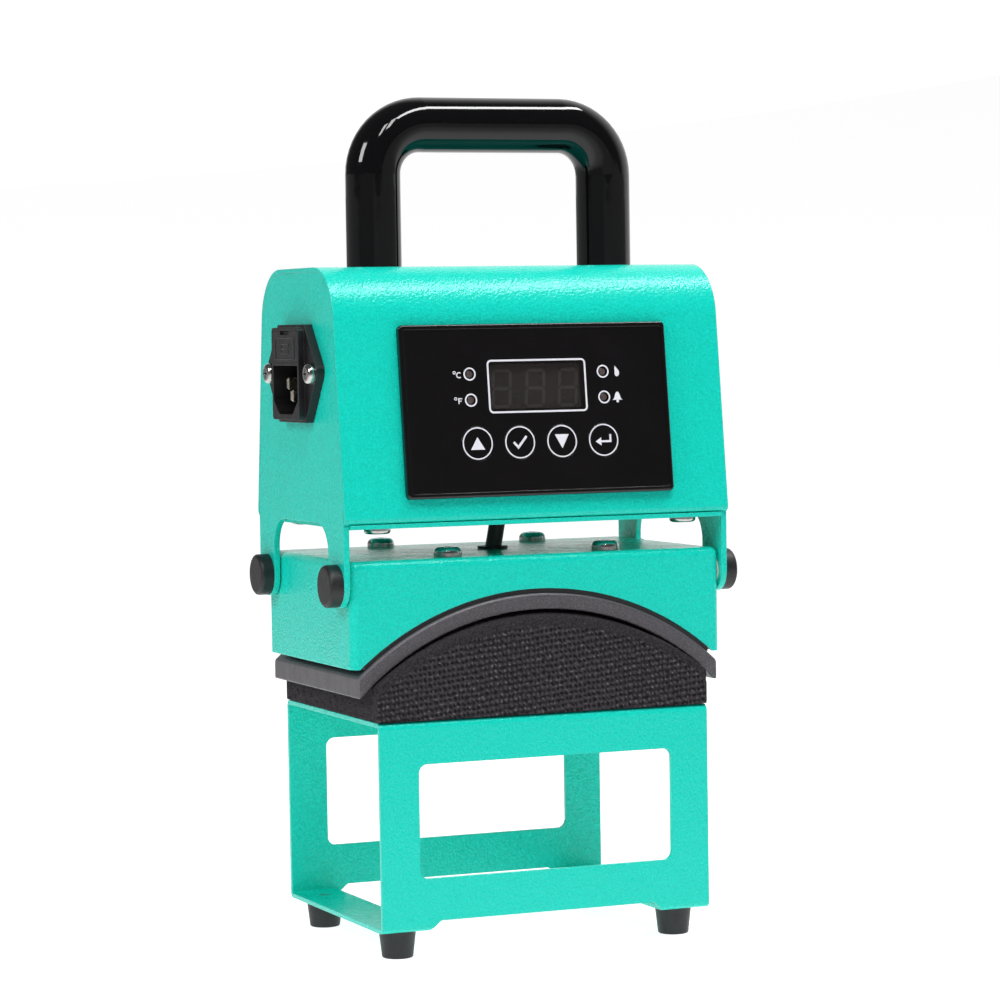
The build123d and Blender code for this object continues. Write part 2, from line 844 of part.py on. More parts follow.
with BuildPart() as buzzer:
    with BuildSketch(board_back):
        with Locations((24, 6)):
            Circle(6)
    extrude(amount=-9)
save(buzzer.part, "buzzer")

# ================================================================ power board inside the housing

with BuildPart() as power_board:
    with BuildSketch(Plane.XY.offset(board_z)):
        with Locations((board_x, board_y)):
            Rectangle(board_width, board_depth)
        with Locations(*board_holes):
            Circle(1.6, mode=Mode.SUBTRACT)
    extrude(amount=1.6)
save(power_board.part, "power_board")

rings(
    "board_standoffs",
    facing([(x, y, housing_bottom) for x, y in board_holes], (0, 0, 1)),
    outer_radius=2.9,
    inner_radius=1.52,
    height=board_z - housing_bottom,
)
screws(
    "board_screws",
    facing([(x, y, board_z + 1.6) for x, y in board_holes], (0, 0, 1)),
    head_radius=2.7,
    head_height=2.0,
    shank_radius=1.5,
    shank_length=7,
)


def on_board(name, x, y, width, depth, height, edge):
    """A block-shaped component standing on the power board."""
    with BuildPart() as block:
        with Locations((x, y, board_z + 1.6)):
            Box(width, depth, height, align=(Align.CENTER, Align.CENTER, Align.MIN))
        fillet(block.edges().filter_by(Axis.Z), edge)
    save(block.part, name)


terminal_x = 20.0
terminal_y = -10.0
on_board("power_relay", 20.0, 8.0, 15.5, 19.0, 15.5, 0.6)
on_board("terminal_block", terminal_x, terminal_y, 15.0, 10.0, 12.0, 0.4)

# Small mains transformer: a laminated core and a wound bobbin as one potted block.
with BuildPart() as transformer:
    with Locations((44.0, 8.0, board_z + 1.6)):
        Box(24.0, 22.0, 24.0, align=(Align.CENTER, Align.CENTER, Align.MIN))
        with Locations((0, 0, 5)):
            Box(18.0, 27.0, 14.0, align=(Align.CENTER, Align.CENTER, Align.MIN))
save(transformer.part, "transformer")

with BuildPart() as filter_capacitor:
    with Locations((43.0, -12.5, board_z + 1.6)):
        Cylinder(5.0, 20.0, align=(Align.CENTER, Align.CENTER, Align.MIN))
    fillet(filter_capacitor.edges(), 0.7)
save(filter_capacitor.part, "filter_capacitor")

# ================================================================ mains inlet

socket_y = -5.45
socket_width = 24.0
socket_height = 16.4
socket_depth = 16.0
socket_slope_x = 5.3
socket_slope_y = 4.6
inlet_body_width = 26.4
inlet_body_height = 31.0
inlet_back = 20.0
drawer_y = 9.2
drawer_width = 23.6
drawer_height = 10.2
drawer_depth = 15.0
fuse_radius = 2.6
fuse_length = 19.6
# across, up from the socket's centre, and the tip's depth below the frame
pin_places = [(-7.0, 2.0, 3.0), (7.0, 2.0, 3.0), (0.0, -2.0, 2.0)]

# Moulded socket: ears under the screws, a proud frame, the socket cavity and the fuse drawer's slot.
with BuildPart() as inlet_body:
    with BuildSketch(inlet_plane) as ears:
        with BuildLine():
            Polyline(
                (-12.8, 16.4),
                (12.8, 16.4),
                (25.4, 0.8),
                (12.8, -16.4),
                (-12.8, -16.4),
                (-25.4, 0.8),
                close=True,
            )
        make_face()
        fillet(ears.vertices().group_by(Axis.X)[0] + ears.vertices().group_by(Axis.X)[-1], 3.5)
    extrude(amount=inlet_flange_thickness)
    with BuildSketch(inlet_plane.offset(inlet_flange_thickness)):
        RectangleRounded(inlet_body_width, inlet_body_height, 1.6)
    extrude(amount=inlet_proud)
    with BuildSketch(inlet_plane):
        Rectangle(26.2, 30.4)
    extrude(amount=-inlet_back)
    # the socket cavity, its two lower corners cut off
    with BuildSketch(inlet_plane.offset(inlet_flange_thickness + inlet_proud)) as cavity:
        with BuildLine():
            Polyline(
                (-socket_width / 2, socket_y + socket_height / 2),
                (socket_width / 2, socket_y + socket_height / 2),
                (socket_width / 2, socket_y - socket_height / 2 + socket_slope_y),
                (socket_width / 2 - socket_slope_x, socket_y - socket_height / 2),
                (-socket_width / 2 + socket_slope_x, socket_y - socket_height / 2),
                (-socket_width / 2, socket_y - socket_height / 2 + socket_slope_y),
                close=True,
            )
        make_face()
    extrude(amount=-socket_depth, mode=Mode.SUBTRACT)
    # the slot that the fuse drawer slides in
    with BuildSketch(inlet_plane.offset(inlet_flange_thickness + inlet_proud)):
        with Locations((0, drawer_y)):
            Rectangle(drawer_width + 0.3, drawer_height + 0.3)
    extrude(amount=-drawer_depth - 1, mode=Mode.SUBTRACT)
    with BuildSketch(inlet_plane):
        with Locations((-inlet_screw_pitch / 2, 0), (inlet_screw_pitch / 2, 0)):
            Circle(1.8)
    extrude(amount=inlet_flange_thickness, mode=Mode.SUBTRACT)
    # slots for the pins
    with BuildSketch(inlet_plane):
        for pin_x, pin_rise, tip_depth in pin_places:
            with Locations((pin_x, socket_y + pin_rise)):
                Rectangle(2.04, 4.04)
    extrude(amount=-inlet_back, mode=Mode.SUBTRACT)
save(inlet_body.part, "inlet_body")

# Three flat blades, through the floor of the socket, with solder tabs behind.
with BuildPart() as inlet_pins:
    for pin_x, pin_rise, tip_depth in pin_places:
        with BuildSketch(inlet_plane.offset(-inlet_back - 7)):
            with Locations((pin_x, socket_y + pin_rise)):
                Rectangle(2.0, 4.0)
        extrude(amount=inlet_back + 7 + inlet_flange_thickness + inlet_proud - tip_depth)
        tip = inlet_pins.faces(Select.LAST).sort_by(Axis(inlet_plane.origin, inlet_plane.z_dir))[-1]
        chamfer(tip.edges(), 0.5)
save(inlet_pins.part, "inlet_pins")

ear_places = [inlet_plane.from_local_coords((side * inlet_screw_pitch / 2, 0, 0)) for side in (-1, 1)]
ear_shift = Vector(-inlet_flange_thickness, 0, 0)
screws(
    "inlet_screws",
    facing([place + ear_shift for place in ear_places], (-1, 0, 0)),
    head_radius=3.5,
    head_height=2.4,
    shank_radius=1.75,
    shank_length=11,
)
hex_nuts(
    "inlet_nuts",
    facing([place + Vector(side_sheet, 0, 0) for place in ear_places], (1, 0, 0)),
    across_flats=6,
    height=3,
    bore_radius=1.77,
)

# Sliding drawer: a front flush with the socket's frame, and an open trough behind it for one fuse.
drawer_front = inlet_plane.offset(inlet_flange_thickness + inlet_proud)
trough_start = 3.0
trough_length = 6.4
fuse_rise = drawer_y - drawer_height / 2 + 1.8 + fuse_radius
with BuildPart() as fuse_drawer:
    with BuildSketch(drawer_front):
        with Locations((0, drawer_y)):
            RectangleRounded(drawer_width, drawer_height, 0.8)
    extrude(amount=-drawer_depth)
    with BuildSketch(drawer_front.offset(-trough_start)):
        with Locations((0, drawer_y - drawer_height / 2 + 1.7)):
            Rectangle(fuse_length + 1.0, drawer_height, align=(Align.CENTER, Align.MIN))
    extrude(amount=-trough_length, mode=Mode.SUBTRACT)
    # finger groove across the front's upper edge
    with BuildSketch(drawer_front):
        with Locations((0, drawer_y + drawer_height / 2 - 0.6)):
            Rectangle(9.0, 1.4)
    extrude(amount=-0.9, mode=Mode.SUBTRACT)
save(fuse_drawer.part, "fuse_drawer")

fuse_centre = drawer_front.from_local_coords((0, fuse_rise, -trough_start - trough_length / 2))
fuse_axis = Plane(origin=fuse_centre, z_dir=(0, 1, 0))
cap_length = 5.0
with BuildPart() as fuse_glass:
    with Locations(fuse_axis):
        Cylinder(fuse_radius - 0.2, fuse_length - 1.0)
        Cylinder(fuse_radius - 0.7, fuse_length, mode=Mode.SUBTRACT)
save(fuse_glass.part, "fuse_glass")

with BuildPart() as fuse_caps:
    with Locations(fuse_axis):
        Cylinder(fuse_radius, fuse_length)
        Cylinder(fuse_radius + 1, fuse_length - 2 * cap_length, mode=Mode.SUBTRACT)
        Cylinder(fuse_radius - 0.19, fuse_length - 0.9, mode=Mode.SUBTRACT)
save(fuse_caps.part, "fuse_caps")

# ================================================================ wiring inside the housing

core_radius = 1.0
core_bend = 5.0
port_pitch = 2.6
port_top = board_z + 1.6 + 12.0
ports = [terminal_x + port_pitch * (i - 2.5) for i in range(6)]

# From the socket's tabs, across the housing and down into the terminal block.
mains_routes = []
for (pin_x, pin_rise, tip_depth), port, height in zip(
    (pin_places[2], pin_places[1], pin_places[0]), ports[3:], (186.0, 190.0, 194.0)
):
    tab = inlet_plane.from_local_coords((pin_x, socket_y + pin_rise, -inlet_back - 7))
    mains_routes.append(
        [
            tuple(tab),
            (tab.X + 18, tab.Y, tab.Z),
            (port - 16, terminal_y, height),
            (port, terminal_y, height - 3),
            (port, terminal_y, port_top),
        ]
    )
wires("mains_wires", mains_routes, core_radius, core_bend)

# From the upper end of the lead, over and down into the other half of the terminal block.
lead_top = lead_places[-1]
core_routes = [
    [
        (lead_top[0] + dx, dy, lead_top[2] + 0.15),
        (lead_top[0] + dx, dy, lead_top[2] + 3),
        (lead_top[0] + dx + 0.6, dy - 1, 168.0 + 3.5 * i),
        (ports[i], terminal_y, 173.0 + 3.5 * i),
        (ports[i], terminal_y, port_top),
    ]
    for i, (dx, dy) in enumerate([(1.2, -0.8), (-1.2, -0.8), (0.0, 1.3)])
]
wires("heater_cores", core_routes, core_radius, 3.0)

# Flat cable between the two boards.
ribbon_x = 34.0
ribbon_start = board_back.from_local_coords((ribbon_x, -14, 0))
ribbon_inward = board_back.from_local_coords((ribbon_x, -14, -6))
with BuildPart() as ribbon_cable:
    with BuildLine() as ribbon_path:
        FilletPolyline(
            tuple(ribbon_start),
            tuple(ribbon_inward),
            (ribbon_x, -20.0, 160.0),
            (ribbon_x, -20.0, board_z + 1.6),
            radius=3,
        )
    with BuildSketch(Plane(origin=ribbon_start, x_dir=(1, 0, 0), z_dir=-board_back.z_dir)):
        Rectangle(10.0, 0.9)
    sweep(path=ribbon_path.line)
save(ribbon_cable.part, "ribbon_cable")
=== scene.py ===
# %% [markdown]
# # A heat press for mugs on its rest stand
# The press is a painted steel housing with a control panel and a bar handle. Under it hangs a heater
# cover with a curved plate, parked on the foam of a folded steel stand. The CAD model already has every
# hard part in its place, so it is loaded first and never moved. What is left to do here is the light,
# the finish of each material, the foam, and the fine print on the panel.

import json
import math

import bpy
import numpy as np
from mathutils import Matrix, Vector


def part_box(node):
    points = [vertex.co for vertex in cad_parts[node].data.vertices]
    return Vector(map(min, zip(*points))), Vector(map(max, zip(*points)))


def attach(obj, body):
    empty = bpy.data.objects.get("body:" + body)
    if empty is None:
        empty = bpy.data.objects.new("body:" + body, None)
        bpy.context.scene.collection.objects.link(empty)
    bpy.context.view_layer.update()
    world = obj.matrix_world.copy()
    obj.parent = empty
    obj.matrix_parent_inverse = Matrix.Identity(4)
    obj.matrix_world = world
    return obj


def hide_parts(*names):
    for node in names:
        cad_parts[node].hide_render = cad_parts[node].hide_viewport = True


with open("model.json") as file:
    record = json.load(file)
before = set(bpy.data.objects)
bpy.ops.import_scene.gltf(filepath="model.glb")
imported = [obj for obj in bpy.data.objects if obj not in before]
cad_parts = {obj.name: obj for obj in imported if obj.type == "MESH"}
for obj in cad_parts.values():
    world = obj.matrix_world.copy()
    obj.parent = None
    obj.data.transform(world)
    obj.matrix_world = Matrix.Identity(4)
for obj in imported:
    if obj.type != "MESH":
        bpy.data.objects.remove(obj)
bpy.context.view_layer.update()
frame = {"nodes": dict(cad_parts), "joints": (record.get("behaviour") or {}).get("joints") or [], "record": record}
mm = 0.001

# %% [markdown]
# ## The camera
# The press is seen from its front left, a little above the middle of the stand, with a long lens from
# about 1.2 metres. A long lens keeps upright edges nearly parallel. The camera could be aimed with a
# constraint, but a place and three angles say the same thing and stay put.

# %% Camera
camera_place = Vector((-0.4713, -1.1175, 0.2078))
camera_azimuth = math.radians(22.57)
camera_elevation = math.radians(3.38)
camera_roll = math.radians(-0.93)
camera_lens = 126.36
camera_shift = (0.027, 0.039)

forward = Vector((
    math.sin(camera_azimuth) * math.cos(camera_elevation),
    math.cos(camera_azimuth) * math.cos(camera_elevation),
    -math.sin(camera_elevation),
))
camera_data = bpy.data.cameras.new("camera")
camera_data.sensor_width = 36.0
camera_data.lens = camera_lens
camera_data.shift_x, camera_data.shift_y = camera_shift
camera = bpy.data.objects.new("camera", camera_data)
bpy.context.scene.collection.objects.link(camera)
aim = forward.to_track_quat("-Z", "Y").to_matrix().to_4x4()
camera.matrix_world = Matrix.Translation(camera_place) @ aim @ Matrix.Rotation(camera_roll, 4, "Z")
bpy.context.scene.camera = camera
print("camera is", round((camera_place - Vector((0, 0, 0.15))).length, 3), "m from the press")

# %% [markdown]
# ## Studio light
# Gloss paint shows what stands round it, so the room matters as much as the lamps. The sky is white
# behind the press and nearly dark in front and on the left: the black handle and panel then stay black,
# and the teal stays deep. One soft box on the left, two tall windows in front and a long strip overhead
# do the rest. The strip draws the thin bright line along the handle, the windows its two small glints.

# %% Lights and sky
scene = bpy.context.scene
scene.view_settings.view_transform = "Standard"
press_middle = Vector((0, 0, 0.16))


def soft_box(name, place, size, power):
    """A rectangular lamp at a place, size in metres, aimed at the middle of the press."""
    lamp = bpy.data.lights.new(name, "AREA")
    lamp.shape = "RECTANGLE"
    lamp.size, lamp.size_y = size
    lamp.energy = power
    holder = bpy.data.objects.new(name, lamp)
    holder.location = place
    holder.rotation_mode = "QUATERNION"
    holder.rotation_quaternion = (press_middle - Vector(place)).to_track_quat("-Z", "Y")
    scene.collection.objects.link(holder)
    return holder


soft_box("overhead_strip", (0.30, -0.34, 1.20), (1.1, 0.14), 11.5)
soft_box("left_box", (-1.20, -0.25, 0.85), (0.35, 0.5), 8.0)
# two tall windows side by side, which the handle's left bend mirrors as two small glints
for number, lamp_x in enumerate((-0.56, -0.28)):
    soft_box(f"front_window_{number}", (lamp_x, -0.95, 1.36), (0.15, 0.42), 3.2)

# the sky goes from dark to white along a level direction, from behind the camera to behind the press
sky_direction = (0.75, 0.66, 0.0)
sky_edges = (0.30, 0.78)
sky_dark, sky_white = 0.10, 1.10
sky = bpy.data.worlds.new("studio")
scene.world = sky
sky.use_nodes = True
sky_tree = sky.node_tree
sky_place = sky_tree.nodes.new("ShaderNodeTexCoord")
sky_side = sky_tree.nodes.new("ShaderNodeVectorMath")
sky_side.operation = "DOT_PRODUCT"
sky_side.inputs[1].default_value = sky_direction
sky_ramp = sky_tree.nodes.new("ShaderNodeMapRange")
sky_ramp.interpolation_type = "SMOOTHSTEP"
sky_ramp.inputs["From Min"].default_value = sky_edges[0]
sky_ramp.inputs["From Max"].default_value = sky_edges[1]
sky_ramp.inputs["To Min"].default_value = sky_dark
sky_ramp.inputs["To Max"].default_value = sky_white
sky_tree.links.new(sky_place.outputs["Generated"], sky_side.inputs[0])
sky_tree.links.new(sky_side.outputs["Value"], sky_ramp.inputs["Value"])
sky_tree.links.new(sky_ramp.outputs["Result"], sky_tree.nodes["Background"].inputs["Strength"])
sky_tree.nodes["Background"].inputs["Color"].default_value = (1, 1, 1, 1)

# %% [markdown]
# ## Meshes from arrays
# Each new piece here is a grid of points: rows along the shape, columns round it. One helper joins the
# grid into quads, and another puts points and faces into Blender, gives them a finish and lets them
# ride on a CAD body, so that they move with it.


# %% Mesh helpers
def grid_faces(rows, columns, wrap_rows=False, wrap_columns=False):
    """Quads between neighbouring points of a rows x columns grid, numbered row by row."""
    row = np.arange(rows if wrap_rows else rows - 1)[:, None]
    column = np.arange(columns if wrap_columns else columns - 1)[None, :]
    next_row, next_column = (row + 1) % rows, (column + 1) % columns
    corners = (
        row * columns + column,
        next_row * columns + column,
        next_row * columns + next_column,
        row * columns + next_column,
    )
    return np.stack(corners, axis=-1).reshape(-1, 4)


def node_points(name):
    """The points of a CAD node as an n x 3 array."""
    mesh = frame["nodes"][name].data
    flat = np.zeros(len(mesh.vertices) * 3, np.float32)
    mesh.vertices.foreach_get("co", flat)
    return flat.reshape(-1, 3).astype(float)


def add_piece(name, points, faces, finish, body, smooth=False):
    """A mesh object from points (n x 3, metres) and a list of faces, riding on a CAD body."""
    mesh = bpy.data.meshes.new(name)
    mesh.from_pydata(points.tolist(), [], [list(face) for face in faces])
    mesh.materials.append(finish)
    mesh.polygons.foreach_set("use_smooth", np.full(len(mesh.polygons), smooth))
    mesh.update()
    piece = bpy.data.objects.new(name, mesh)
    scene.collection.objects.link(piece)
    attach(piece, body)
    return piece


# %% [markdown]
# ## Floor
# The floor is a pale sheet that runs far past the press and rises gently behind it, like studio paper,
# so no edge shows. It is a stage, not a part of the press.

# %% Floor sheet
floor_half = 6.0
floor_steps = 61
floor_flat = 2.0
floor_curve = 0.03
along = np.linspace(-floor_half, floor_half, floor_steps)
floor_x, floor_y = np.meshgrid(along, along, indexing="ij")
# height: nothing near the press, then a slow parabola towards the far edge
floor_z = floor_curve * np.clip(np.hypot(floor_x, floor_y) - floor_flat, 0, None) ** 2
floor_points = np.stack([floor_x, floor_y, floor_z], axis=-1).reshape(-1, 3)
floor_mesh = bpy.data.meshes.new("floor")
floor_mesh.from_pydata(floor_points.tolist(), [], grid_faces(floor_steps, floor_steps)[:, ::-1].tolist())
floor_mesh.polygons.foreach_set("use_smooth", np.full(len(floor_mesh.polygons), True))
floor = bpy.data.objects.new("floor", floor_mesh)
scene.collection.objects.link(floor)
print("floor is", 2 * floor_half, "m wide")

# %% [markdown]
# ## Finishes: the building blocks
# A real surface is never one flat colour. Every finish below starts from the same few moves: a noise
# in the object's own coordinates, a mix of two tones, a gloss that varies, and a fine relief. Sizes
# are in millimetres, so that a grain is as large as on the real thing. Constants go straight onto the
# shader's sockets.


# %% Finish helpers
def new_finish(name, tone, roughness, **sockets):
    """A Principled finish. Further sockets are given by name, with _ for a space."""
    finish = bpy.data.materials.new(name)
    finish.use_nodes = True
    tree = finish.node_tree
    shader = tree.nodes["Principled BSDF"]
    shader.inputs["Base Color"].default_value = (*tone, 1)
    shader.inputs["Roughness"].default_value = roughness
    for socket, value in sockets.items():
        shader.inputs[socket.replace("_", " ")].default_value = value
    finish.diffuse_color = (*tone, 1)
    return finish, tree, shader


def noise(tree, size, detail=2.0, stretch=(1, 1, 1), roughness=0.5):
    """Noise in object coordinates. size is a blob's width in millimetres, stretch lengthens it."""
    place = tree.nodes.new("ShaderNodeTexCoord")
    turn = tree.nodes.new("ShaderNodeMapping")
    turn.inputs["Scale"].default_value = [1 / s for s in stretch]
    field = tree.nodes.new("ShaderNodeTexNoise")
    field.inputs["Scale"].default_value = 1 / (size * mm)
    field.inputs["Detail"].default_value = detail
    field.inputs["Roughness"].default_value = roughness
    tree.links.new(place.outputs["Object"], turn.inputs["Vector"])
    tree.links.new(turn.outputs["Vector"], field.inputs["Vector"])
    return field.outputs["Fac"]


def spread(tree, value, low, high, to_low=0.0, to_high=1.0):
    """Maps low..high of a value onto to_low..to_high, and clips the rest."""
    ramp = tree.nodes.new("ShaderNodeMapRange")
    ramp.inputs["From Min"].default_value = low
    ramp.inputs["From Max"].default_value = high
    ramp.inputs["To Min"].default_value = to_low
    ramp.inputs["To Max"].default_value = to_high
    tree.links.new(value, ramp.inputs["Value"])
    return ramp.outputs["Result"]


def mix_tones(tree, factor, first, second):
    """A colour between two tones. A tone is a triple or another node's output."""
    blend = tree.nodes.new("ShaderNodeMix")
    blend.data_type = "RGBA"
    tree.links.new(factor, blend.inputs["Factor"])
    for socket, tone in (("A", first), ("B", second)):
        target = [i for i in blend.inputs if i.name == socket and i.type == "RGBA"][0]
        if isinstance(tone, bpy.types.NodeSocket):
            tree.links.new(tone, target)
        else:
            target.default_value = (*tone, 1)
    return [o for o in blend.outputs if o.type == "RGBA"][0]


def combine(tree, operation, first, second):
    """One arithmetic step between two values. A value is a number or another node's output."""
    step = tree.nodes.new("ShaderNodeMath")
    step.operation = operation
    for socket, value in zip(step.inputs, (first, second)):
        if isinstance(value, bpy.types.NodeSocket):
            tree.links.new(value, socket)
        else:
            socket.default_value = value
    return step.outputs["Value"]


def relief(tree, shader, height, depth, under=None):
    """Bumps the surface by height x depth (mm), on top of another normal if one is given."""
    bump = tree.nodes.new("ShaderNodeBump")
    bump.inputs["Distance"].default_value = depth * mm
    tree.links.new(height, bump.inputs["Height"])
    if under is not None:
        tree.links.new(under, bump.inputs["Normal"])
    tree.links.new(bump.outputs["Normal"], shader.inputs["Normal"])


def soft_edges(tree, radius):
    """A normal that rounds sharp edges over a radius (mm), and a mask that is 1 on those edges."""
    rounded = tree.nodes.new("ShaderNodeBevel")
    rounded.samples = 4
    rounded.inputs["Radius"].default_value = radius * mm
    flat = tree.nodes.new("ShaderNodeNewGeometry")
    angle = tree.nodes.new("ShaderNodeVectorMath")
    angle.operation = "DOT_PRODUCT"
    tree.links.new(rounded.outputs["Normal"], angle.inputs[0])
    tree.links.new(flat.outputs["Normal"], angle.inputs[1])
    return rounded.outputs["Normal"], spread(tree, angle.outputs["Value"], 0.995, 0.8)


def paper_light(tree, direction, low, high):
    """0.2 to 1 as the place on the floor, measured along a direction (m), goes from low to high."""
    place = tree.nodes.new("ShaderNodeTexCoord")
    distance = tree.nodes.new("ShaderNodeVectorMath")
    distance.operation = "DOT_PRODUCT"
    distance.inputs[1].default_value = direction
    tree.links.new(place.outputs["Object"], distance.inputs[0])
    ramp = spread(tree, distance.outputs["Value"], low, high, 0.2, 1.0)
    ramp.node.interpolation_type = "SMOOTHSTEP"
    return ramp


def plain_finish(name, dark, light, roughness, size=2.0, depth=0.02, **sockets):
    """Two close tones in a soft mottle, a gloss that varies by a fifth, and a fine relief."""
    finish, tree, shader = new_finish(name, light, roughness, **sockets)
    mottle = spread(tree, noise(tree, size, 3.0), 0.3, 0.7)
    tree.links.new(mix_tones(tree, mottle, dark, light), shader.inputs["Base Color"])
    gloss = spread(tree, noise(tree, size * 2.7), 0.3, 0.7, roughness * 0.9, roughness * 1.1)
    tree.links.new(gloss, shader.inputs["Roughness"])
    relief(tree, shader, noise(tree, size * 0.3, 2.0), depth)
    return finish


finishes = {}
floor_finish, floor_tree, floor_shader = new_finish("studio_paper", (0.5, 0.5, 0.5), 0.9)
relief(floor_tree, floor_shader, noise(floor_tree, 1.5, 3.0), 0.02)
floor_shader.inputs["Emission Color"].default_value = (1, 1, 1, 1)
# the paper glows where it stands behind the press, and fades towards the left and the front
paper_glow = 0.86
glow_from_left = paper_light(floor_tree, (0.968, -0.252, 0), -0.75, -0.22)
glow_from_front = paper_light(floor_tree, (0, 1, 0), -0.65, -0.24)
floor_glow = combine(floor_tree, "MULTIPLY", glow_from_left, paper_glow)
floor_glow = combine(floor_tree, "MULTIPLY", glow_from_front, floor_glow)
floor_tree.links.new(floor_glow, floor_shader.inputs["Emission Strength"])
floor_mesh.materials.append(floor_finish)
print("finish helpers are ready")

# %% [markdown]
# ## Powder coat
# The teal paint is a powder coat: baked plastic with an orange-peel skin whose blobs are a little
# under a millimetre. It is made from two noises, a fine one for the skin and a coarse one for slow
# changes in gloss. Cut edges get a painted highlight: their colour is lightened where they catch the
# light, and the coat also pulls thin there.


# %% Teal powder coat
def powder_coat():
    """Teal skin: fine speckle in colour, orange-peel relief, rounded edges lightened as a painted highlight."""
    finish, tree, shader = new_finish("teal_powder", (0.005, 0.62, 0.50), 0.30)
    shader.inputs["Specular IOR Level"].default_value = 0.42
    shader.inputs["Specular Tint"].default_value = (0.68, 1.0, 0.98, 1)
    speckle = spread(tree, noise(tree, 0.6, 2.0), 0.35, 0.65)
    body = mix_tones(tree, speckle, (0.003, 0.555, 0.435), (0.007, 0.670, 0.550))
    edge_normal, edge = soft_edges(tree, 0.55)
    # painted highlight: the edge mask lightens the colour towards a pale teal on the edges
    edge_highlight_share = combine(tree, "MULTIPLY", edge, 0.45)
    tree.links.new(mix_tones(tree, edge_highlight_share, body, (0.10, 0.78, 0.66)), shader.inputs["Base Color"])
    gloss = spread(tree, noise(tree, 9.0, 2.0), 0.3, 0.7, 0.21, 0.30)
    tree.links.new(gloss, shader.inputs["Roughness"])
    peel = combine(tree, "ADD", noise(tree, 0.95, 1.0), combine(tree, "MULTIPLY", noise(tree, 2.6), 0.2))
    relief(tree, shader, peel, 0.20, edge_normal)
    return finish


finishes["teal_coat"] = powder_coat()
print("powder coat:", len(finishes["teal_coat"].node_tree.nodes), "nodes")

# %% [markdown]
# ## Black parts
# Five blacks lie side by side, and gloss tells them apart. The handle is lacquered and mirrors the
# lamps. The panel is polished plastic. The inlet is satin nylon whose moulded edges are lightened as
# a painted highlight. Caps and feet are dull rubber, and the lead is a smooth sheath.


# %% Lacquer, polished plastic, nylon and rubber
def lacquer():
    """Black gloss with a slow waviness of a few hundredths, as in sprayed paint on a tube."""
    finish, tree, shader = new_finish("handle_lacquer", (0.002, 0.002, 0.0025), 0.05, Specular_IOR_Level=0.4)
    dust = spread(tree, noise(tree, 1.1, 4.0), 0.62, 0.75)
    dusted = mix_tones(tree, dust, (0.002, 0.002, 0.0025), (0.006, 0.006, 0.007))
    tree.links.new(dusted, shader.inputs["Base Color"])
    tree.links.new(spread(tree, noise(tree, 6.0), 0.3, 0.7, 0.03, 0.08), shader.inputs["Roughness"])
    relief(tree, shader, noise(tree, 7.0, 1.0), 0.02)
    return finish


def polished_plastic(name, tone, roughness):
    """Moulded gloss plastic with a faint slow haze and softened edges."""
    finish, tree, shader = new_finish(name, tone, roughness)
    haze = spread(tree, noise(tree, 14.0, 2.0), 0.35, 0.75)
    tree.links.new(mix_tones(tree, haze, tone, tuple(t * 1.3 for t in tone)), shader.inputs["Base Color"])
    tree.links.new(spread(tree, haze, 0, 1, roughness, roughness + 0.04), shader.inputs["Roughness"])
    edge_normal, _ = soft_edges(tree, 0.25)
    relief(tree, shader, noise(tree, 8.0, 1.0), 0.006, edge_normal)
    return finish


def satin_nylon(name, tone, edge_highlight_tone):
    """Moulded nylon: spark-eroded grain, and edges painted lighter as a highlight."""
    finish, tree, shader = new_finish(name, tone, 0.42)
    edge_normal, edge = soft_edges(tree, 0.35)
    grain = spread(tree, noise(tree, 0.5, 3.0), 0.35, 0.65)
    body = mix_tones(tree, grain, tone, tuple(t * 1.35 for t in tone))
    # painted highlight: the edge mask lightens the colour towards the edge tone
    highlighted_edges = mix_tones(tree, combine(tree, "MULTIPLY", edge, 0.7), body, edge_highlight_tone)
    tree.links.new(highlighted_edges, shader.inputs["Base Color"])
    tree.links.new(spread(tree, noise(tree, 4.0), 0.3, 0.7, 0.36, 0.50), shader.inputs["Roughness"])
    relief(tree, shader, noise(tree, 0.35, 2.0), 0.02, edge_normal)
    return finish


finishes["handle_black"] = lacquer()
finishes["panel_black"] = polished_plastic("panel_gloss", (0.0035, 0.003, 0.0035), 0.12)
# the last tone of each nylon is its painted edge highlight
finishes["socket_black"] = satin_nylon("inlet_nylon", (0.004, 0.004, 0.005), (0.05, 0.05, 0.06))
finishes["drawer_black"] = satin_nylon("drawer_nylon", (0.009, 0.008, 0.009), (0.06, 0.05, 0.05))
finishes["black_rubber"] = plain_finish(
    "dull_rubber", (0.004, 0.004, 0.005), (0.010, 0.010, 0.012), 0.48, 0.9, 0.03
)
finishes["lead_black"] = plain_finish("lead_sheath", (0.008, 0.008, 0.009), (0.014, 0.014, 0.016), 0.38, 3.0)
print("black finishes:", [name for name in finishes if "black" in name])

# %% [markdown]
# ## Metals
# The screws are bright nickel and mirror the teal round them. Hidden fasteners are zinc plated, with
# larger crystals and less shine. The plate is aluminium under a dark non-stick coat: a satin grey with
# a fine sparkle, and its bevelled edges lightened as a painted highlight.


# %% Steel, zinc, brass and the heating plate
def coated_plate():
    """Grey satin coat: fine light speckle over a brown-grey body, and edges painted lighter as a highlight."""
    finish, tree, shader = new_finish("plate_coat", (0.10, 0.09, 0.105), 0.42, Metallic=0.35)
    sparkle = spread(tree, noise(tree, 0.35, 2.0), 0.45, 0.75)
    body = mix_tones(tree, sparkle, (0.078, 0.073, 0.082), (0.165, 0.155, 0.171))
    edge_normal, edge = soft_edges(tree, 0.6)
    # painted highlight: the edge mask lightens the colour towards a pale grey on the bevelled edges
    highlighted_edges = mix_tones(tree, combine(tree, "MULTIPLY", edge, 0.6), body, (0.36, 0.34, 0.37))
    tree.links.new(highlighted_edges, shader.inputs["Base Color"])
    tree.links.new(spread(tree, noise(tree, 5.0, 3.0), 0.3, 0.7, 0.36, 0.50), shader.inputs["Roughness"])
    relief(tree, shader, noise(tree, 0.5, 1.0), 0.012, edge_normal)
    return finish


